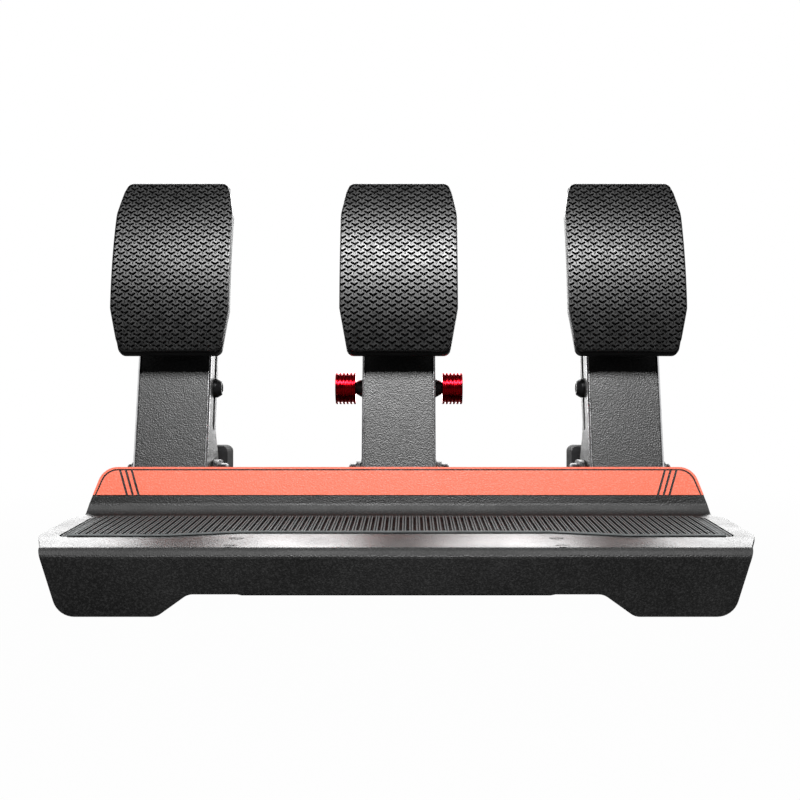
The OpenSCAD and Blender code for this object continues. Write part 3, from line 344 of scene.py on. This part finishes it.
PAD_CENTRE_Y = 192.164  # middle of the pad's curve
PAD_CENTRE_Z = 165.702
PAD_LEAN = radians(15.15)
PAD_R = 203.0  # outer face of the tread
BACK_R = 199.0  # the plate's face
PAD_HALF_H = 63.23
PAD_HALF_W = 41.2
PAD_CORNER = 5.0
PAD_CORNERS = [  # half width and height up the chord, from foot to top
    (35.5, -PAD_HALF_H), (PAD_HALF_W, -34.23), (PAD_HALF_W, 36.23), (36.5, PAD_HALF_H),
]
CORNER_STEPS = 8
CORNER_SWEEP = 80.0  # degrees
CORNER_OUT = 0.2  # brings the rounding out to the slanted side
CORNER_MIN_R = 0.5
ROW_STEP = 3.0
CUT_PITCH_X = 4.4  # the Y-shaped recesses: columns, and rows in a column
CUT_PITCH_V = 5.03
CUT_BORDER = 0.7
CUT_RIGHT = [  # right half of a recess, from the notch between its arms to the foot of its stem
    (0.00, 0.15), (0.85, 0.70), (1.80, 1.20), (2.50, 1.25), (2.70, 0.85), (2.55, 0.35),
    (1.80, -0.10), (1.05, -0.65), (0.46, -1.15), (0.38, -2.90), (0.18, -3.15),
]
CUT_LEVELS = [  # spread and radius, floor to mouth
    (-0.12, 200.8), (-0.08, 202.4), (0.04, 202.8), (0.30, 203.03),
]
SHEET_RIM = [  # inset and radius, back to face
    (0.0, BACK_R), (0.0, PAD_R - 0.9), (0.12, PAD_R - 0.45), (0.4, PAD_R - 0.14), (0.9, PAD_R),
]
CLIP_RIM = [(CUT_BORDER, BACK_R + 0.5), (CUT_BORDER, PAD_R + 1.0)]
SHARP_ANGLE = radians(25.0)


def on_pad(x, v, r):
    """A point of a pad in the middle of the set.

    x goes across, v up along the pad's chord, and r out from the middle of its curve.
    """
    out = sqrt(r * r - v * v)
    y = PAD_CENTRE_Y - out * cos(PAD_LEAN) + v * sin(PAD_LEAN)
    z = PAD_CENTRE_Z + out * sin(PAD_LEAN) + v * cos(PAD_LEAN)
    return Vector((x, y, z)) * MM


def rounding(x, v, r, start):
    """Points of a corner's arc around (x, v), from a start angle in degrees."""
    angles = [radians(start + CORNER_SWEEP * i / CORNER_STEPS) for i in range(CORNER_STEPS + 1)]
    return [(x + r * cos(a) + CORNER_OUT, v + r * sin(a)) for a in angles]


def pad_side(inset):
    """The right edge of the pad from foot to top, set in by inset, with rounded corners."""
    half = PAD_HALF_H - inset
    (x0, v0), (x1, v1), (x2, v2), (x3, v3) = [(x - inset, v) for x, v in PAD_CORNERS]
    r = max(PAD_CORNER - inset, CORNER_MIN_R)
    side = rounding(x0 - r, -half + r, r, -90.0)
    straight = PAD_HALF_H - PAD_CORNER
    rows = ceil(2 * straight / ROW_STEP)
    for step in range(1, rows):
        v = -straight + 2 * straight * step / rows
        if v < v1:
            x = x0 + (x1 - x0) * (v - v0) / (v1 - v0)
        elif v > v2:
            x = x3 + (x2 - x3) * (v - v3) / (v2 - v3)
        else:
            x = x1
        side.append((x, v))
    return side + rounding(x3 - r, half - r, r, 90.0 - CORNER_SWEEP)


def pad_block(rim):
    """A closed block of the pad's outline: rim gives inset and radius, from back to face."""
    mesh_data = bmesh.new()

    def loop(inset, r):
        right = pad_side(inset)
        points = right + [(-x, v) for x, v in reversed(right)]
        return [mesh_data.verts.new(on_pad(x, v, r)) for x, v in points]

    loops = [loop(inset, r) for inset, r in rim]
    for lower, upper in zip(loops, loops[1:]):
        bridge(mesh_data, upper, lower, smooth=True)
    for ring in (loops[-1], loops[0]):
        for i in range(len(ring) // 2 - 1):
            face = mesh_data.faces.new([ring[i], ring[i + 1], ring[-2 - i], ring[-1 - i]])
            face.smooth = True
    return mesh_data


def cut_outline(spread):
    """One recess, widened by spread all round."""
    ring = CUT_RIGHT + [(-x, v) for x, v in reversed(CUT_RIGHT[1:])]
    points = []
    for i, (x, v) in enumerate(ring):
        before = Vector((x, v)) - Vector(ring[i - 1])
        after = Vector(ring[(i + 1) % len(ring)]) - Vector((x, v))
        normal = (before.normalized() + after.normalized()).normalized()
        points.append((x - normal.y * spread, v + normal.x * spread))
    return points


def tread_cutter():
    """All the recesses of one pad as closed prisms that flare towards the mouth."""
    mesh_data = bmesh.new()
    columns = ceil(PAD_HALF_W / CUT_PITCH_X)
    rows = ceil(PAD_HALF_H / CUT_PITCH_V) + 1
    outlines = [(cut_outline(spread), r) for spread, r in CUT_LEVELS]
    for column in range(-columns, columns + 1):
        x = column * CUT_PITCH_X
        for row in range(-rows, rows + 1):
            v = (row + 0.5 * (column % 2)) * CUT_PITCH_V
            tube(mesh_data, [
                [mesh_data.verts.new(on_pad(x + dx, v + dv, r)) for dx, dv in outline]
                for outline, r in outlines
            ], smooth=True)
    return mesh_data


def combine(target, other, operation):
    step = target.modifiers.new(operation, "BOOLEAN")
    step.object = other
    step.operation = operation
    step.solver = "MANIFOLD"


def cut_tread():
    """The sheet with its recesses, as a mesh in the middle of the set."""
    sheet = add_object("sheet", as_mesh("sheet", pad_block(SHEET_RIM)))
    cutter = add_object("cutter", as_mesh("cutter", tread_cutter()))
    clip = add_object("clip", as_mesh("clip", pad_block(CLIP_RIM)))
    combine(cutter, clip, "INTERSECT")
    combine(sheet, cutter, "DIFFERENCE")
    shown = sheet.evaluated_get(bpy.context.evaluated_depsgraph_get())
    mesh = bpy.data.meshes.new_from_object(shown)
    mesh.set_sharp_from_angle(angle=SHARP_ANGLE)
    for used in (sheet, cutter, clip):
        bpy.data.meshes.remove(used.data)
    return mesh


def make_treads(material):
    pattern = cut_tread()
    for pedal, middle_x in PEDALS.items():
        mesh = pattern.copy()
        mesh.name = f"{pedal}_tread"
        mesh.transform(Matrix.Translation((middle_x * MM, 0.0, 0.0)))
        piece = as_piece(mesh, f"{pedal}_pedal", material)
        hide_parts(f"{pedal}_pad_grip")
    bpy.data.meshes.remove(pattern)


# Bright strips on the arms' edges, and the mat's front border

PIVOT = Vector((0.0, 23.0, 66.0))
ARM_LEAN = radians(13.0)
ARM_FACE = 30.6  # in front of the pivot
EDGE_ENDS = (-9.0, 189.0)  # along the arm, from the pivot
EDGE_SECTION = [  # across from the middle of the arm, and out from its face
    (24.35, -0.3), (24.35, 1.40), (24.45, 1.52), (24.60, 1.50),
    (25.78, 0.28), (25.85, 0.12), (25.85, -0.9), (25.3, -0.9),
]
REST_FRONT = Vector((0.0, -165.0, 38.0))  # where the heel rest meets the front wall
REST_SLOPE = radians(3.0)
MAT_FRONT = [  # across, and back along the heel rest
    (-195.0, 40.0), (-137.0, 40.0), (-95.0, 52.0), (95.0, 52.0), (137.0, 40.0), (195.0, 40.0),
]
RAIL_SECTION = [  # back from the mat's front, and up from the heel rest
    (-0.05, -0.6), (-0.9, 0.60), (-0.8, 0.85), (-0.3, 1.25), (1.8, 1.25), (2.1, 0.9), (2.1, -0.3),
]


def on_arm(x, out, along):
    back = -ARM_FACE - out
    y = back * cos(ARM_LEAN) + along * sin(ARM_LEAN)
    z = -back * sin(ARM_LEAN) + along * cos(ARM_LEAN)
    return (PIVOT + Vector((x, y, z))) * MM


def on_rest(x, back, up):
    y = back * cos(REST_SLOPE) - up * sin(REST_SLOPE)
    z = back * sin(REST_SLOPE) + up * cos(REST_SLOPE)
    return (REST_FRONT + Vector((x, y, z))) * MM


def make_arm_edges(material):
    """Bright steel strips with a chamfered section along both front edges of each arm."""
    for pedal, middle_x in PEDALS.items():
        mesh_data = bmesh.new()
        for side in (-1.0, 1.0):
            tube(mesh_data, [
                [mesh_data.verts.new(on_arm(middle_x + side * x, out, along))
                 for x, out in EDGE_SECTION]
                for along in EDGE_ENDS
            ], smooth=False)
        mesh = as_mesh(f"{pedal}_arm_edges", mesh_data)
        as_piece(mesh, f"{pedal}_pedal", material)


def make_mat_edge(material):
    """The plain front border of the mat: it closes the ribs and overhangs the gap to the lip."""
    mesh_data = bmesh.new()
    tube(mesh_data, [
        [mesh_data.verts.new(on_rest(x, front + back, up)) for back, up in RAIL_SECTION]
        for x, front in MAT_FRONT
    ], smooth=False)
    as_piece(as_mesh("mat_edge", mesh_data), "base", material)


# Springs and bumper

PIN = Vector((0.0, 24.782, 129.733))  # cross pin at rest
TRUNNION = Vector((0.0, 123.0, 100.0))
STRUT_DIR = (TRUNNION - PIN).normalized()
STRUT_UP = Vector((0.0, -STRUT_DIR.z, STRUT_DIR.y))
STRUT_X = {"clutch": -166.0, "brake": 0.0, "throttle": 166.0}
SEAT = 20.2  # where springs and bumper start, along the strut from its pin
COIL_END = 90.42
COIL_R = 10.2
COIL_CURLS = 8
COIL_STEPS = 36  # in one curl
WIRE_R = 1.5
WIRE_SIDES = 14
BUMPER_END = 78.42
BUMPER_R = 14.0
BUMPER_BORE = 6.1
BUMPER_LOBES = 4
BUMPER_GROOVE = 2.5
BUMPER_FULLNESS = 0.45  # lower makes fuller lobes and narrower necks
BUMPER_EASE = 0.4
BUMPER_STEPS = 24  # in one lobe
BUMPER_SIDES = 64


def on_strut(middle_x, along, r, angle):
    """A point around a strut: along it from the cross pin, at a radius and an angle."""
    point = PIN + STRUT_DIR * along + STRUT_UP * (r * sin(angle))
    return Vector((middle_x + r * cos(angle), point.y, point.z)) * MM


def coil_advance(turn):
    """How far the wire has come after a number of turns: flat at both ends, even between."""
    even = (COIL_END - SEAT - 2 * WIRE_R) / (COIL_CURLS - 1.0)
    if turn < 1.0:
        return SEAT + WIRE_R + even * turn * turn / 2.0
    if turn > COIL_CURLS - 1.0:
        left = COIL_CURLS - turn
        return COIL_END - WIRE_R - even * left * left / 2.0
    return SEAT + WIRE_R + even * (turn - 0.5)


def make_springs(material):
    around = [2 * pi * i / WIRE_SIDES for i in range(WIRE_SIDES)]
    turns = [i / COIL_STEPS for i in range(COIL_CURLS * COIL_STEPS + 1)]
    for pedal in ("clutch", "throttle"):
        middle_x = STRUT_X[pedal]
        mesh_data = bmesh.new()
        tube(mesh_data, [
            [mesh_data.verts.new(on_strut(middle_x, coil_advance(turn) + WIRE_R * sin(b),
                                          COIL_R + WIRE_R * cos(b), 2 * pi * turn))
             for b in around]
            for turn in turns
        ], smooth=True)
        mesh = as_mesh(f"{pedal}_coil", mesh_data)
        piece = as_piece(mesh, f"{pedal}_guide", material)
        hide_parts(f"{pedal}_spring")
        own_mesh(piece)


def bumper_radius(share):
    """Outer radius along the bumper: lobes with rounded necks between them."""
    wave = abs(sin(pi * BUMPER_LOBES * share)) ** BUMPER_FULLNESS
    return BUMPER_R - BUMPER_GROOVE * (1.0 - wave)


def make_bumper(material):
    middle_x = STRUT_X["brake"]
    length = BUMPER_END - SEAT
    steps = BUMPER_STEPS * BUMPER_LOBES
    profile = [
        (SEAT, BUMPER_BORE),
        (SEAT, bumper_radius(0.0) - BUMPER_EASE),
        *((SEAT + length * i / steps, bumper_radius(i / steps)) for i in range(1, steps)),
        (BUMPER_END, bumper_radius(1.0) - BUMPER_EASE),
        (BUMPER_END, BUMPER_BORE),
    ]
    around = [2 * pi * i / BUMPER_SIDES for i in range(BUMPER_SIDES)]
    mesh_data = bmesh.new()
    rings = [
        [mesh_data.verts.new(on_strut(middle_x, along, r, a)) for a in around]
        for along, r in profile
    ]
    for ring_a, ring_b in zip(rings, rings[1:] + rings[:1]):
        bridge(mesh_data, ring_a, ring_b, smooth=True)
    piece = as_piece(as_mesh("brake_cushion", mesh_data), "brake_guide", material)
    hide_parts("brake_bumper")
    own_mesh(piece)


# Studio, in metres

CAMERA_PLACE = (0.0083, -0.8066, 0.121)
BEHIND = (0.0, 1.0, -1.2)  # the white that gloss sees lies this way
BEHIND_START = -0.4  # from the dimmer room to the white
BEHIND_END = -0.05
FLOOR_GREY = (0.08, 0.08, 0.08)
SHADOW_REACH = 0.35  # the floor's shadow fades out between these distances
SHADOW_END = 0.9


def camera():
    data = bpy.data.cameras.new("camera")
    data.lens = 51.75
    data.sensor_width = 36.0
    data.shift_x = -0.0132
    data.clip_start = 0.01
    data.clip_end = 50.0
    rig = add_object("camera", data)
    rig.location = CAMERA_PLACE
    rig.rotation_euler = (radians(90.0), 0.0, 0.0)
    bpy.context.scene.camera = rig


def softbox(name, place, aim, width, height, radiance):
    data = bpy.data.lights.new(name, "AREA")
    data.shape = "RECTANGLE"
    data.size = width
    data.size_y = height
    data.energy = radiance * width * height * pi
    lamp = add_object(name, data)
    lamp.location = place
    lamp.rotation_euler = (Vector(aim) - Vector(place)).to_track_quat("-Z", "Y").to_euler()
    lamp.visible_camera = False


class RayTree(Tree):
    """A node tree whose values go by the kind of ray."""

    def by_ray(self, seen, gloss, soft):
        """One value for the camera, one for gloss and glass, one for soft light."""
        path = self.tree.nodes.new("ShaderNodeLightPath").outputs
        reflected = self.math("MAXIMUM", path["Is Glossy Ray"], path["Is Transmission Ray"])
        mirrored = self.ranged(reflected, soft, gloss, start=0.0, end=1.0)
        return self.ranged(path["Is Camera Ray"], mirrored, seen, start=0.0, end=1.0)


def white_world(ambient, room):
    """White to the camera. Gloss sees white behind the set and a dim room in front of it."""
    world = bpy.data.worlds.new("world")
    bpy.context.scene.world = world
    n = RayTree(world)
    facing = n.dot(n.add("ShaderNodeTexCoord", out="Generated"), BEHIND)
    behind = n.ranged(facing, room, 1.0, BEHIND_START, BEHIND_END)
    background = n.tree.nodes["Background"]
    background.inputs["Color"].default_value = opaque((1.0, 1.0, 1.0))
    n.join(n.by_ray(1.0, behind, ambient), background.inputs["Strength"])


def white_floor(size, near_glow, gloss_glow):
    """White floor with a soft shadow near the set, which runs out into the white behind."""
    mesh_data = bmesh.new()
    bmesh.ops.create_grid(mesh_data, x_segments=1, y_segments=1, size=size)
    floor = add_object("floor", as_mesh("floor", mesh_data))
    mat = bpy.data.materials.new("floor")
    n = RayTree(mat)
    shader = n.tree.nodes["Principled BSDF"]
    shader.inputs["Base Color"].default_value = opaque(FLOOR_GREY)
    shader.inputs["Roughness"].default_value = 0.9
    shader.inputs["Specular IOR Level"].default_value = 0.0
    away = n.add("ShaderNodeVectorMath", n.add("ShaderNodeTexCoord", out="Object"), out="Value",
                 fields={"operation": "LENGTH"})
    outward = n.ranged(away, near_glow, 1.0, SHADOW_REACH, SHADOW_END)
    mixed = n.add("ShaderNodeMixShader", n.by_ray(outward, gloss_glow, 0.0), shader.outputs[0],
                  n.add("ShaderNodeEmission"))
    n.join(mixed, n.tree.nodes["Material Output"].inputs["Surface"])
    floor.data.materials.append(mat)


def studio():
    camera()
    white_world(ambient=0.15, room=0.02)
    white_floor(size=12.0, near_glow=0.985, gloss_glow=0.0)
    softbox("key", place=(0.0, -1.14, 1.19), aim=(0.0, 0.0, 0.22),
            width=0.78, height=0.35, radiance=40.5)
    softbox("rear_low", place=(0.0, 1.7, 0.20), aim=(0.0, 0.0, 0.1),
            width=1.0, height=0.3, radiance=5.0)
    softbox("rear_high", place=(0.0, 1.7, 1.10), aim=(0.0, 0.0, 0.1),
            width=2.2, height=1.1, radiance=6.9)
    bpy.context.scene.view_settings.view_transform = "Standard"


# The dressed part

OWN_FINISH = {"heel_screws": "black_oxide"}


def dress_nodes(look):
    for part in frame["record"]["subparts"]:
        slots = nodes[part["node"]].data.materials
        slots.clear()
        slots.append(look[OWN_FINISH.get(part["node"], part["material_slot"])])


studio()
look = finishes()
dress_nodes(look)
make_treads(look["tread_rubber"])
make_arm_edges(look["bright_steel"])
make_mat_edge(look["mat_edge"])
make_springs(look["spring_steel"])
make_bumper(look["elastomer"])
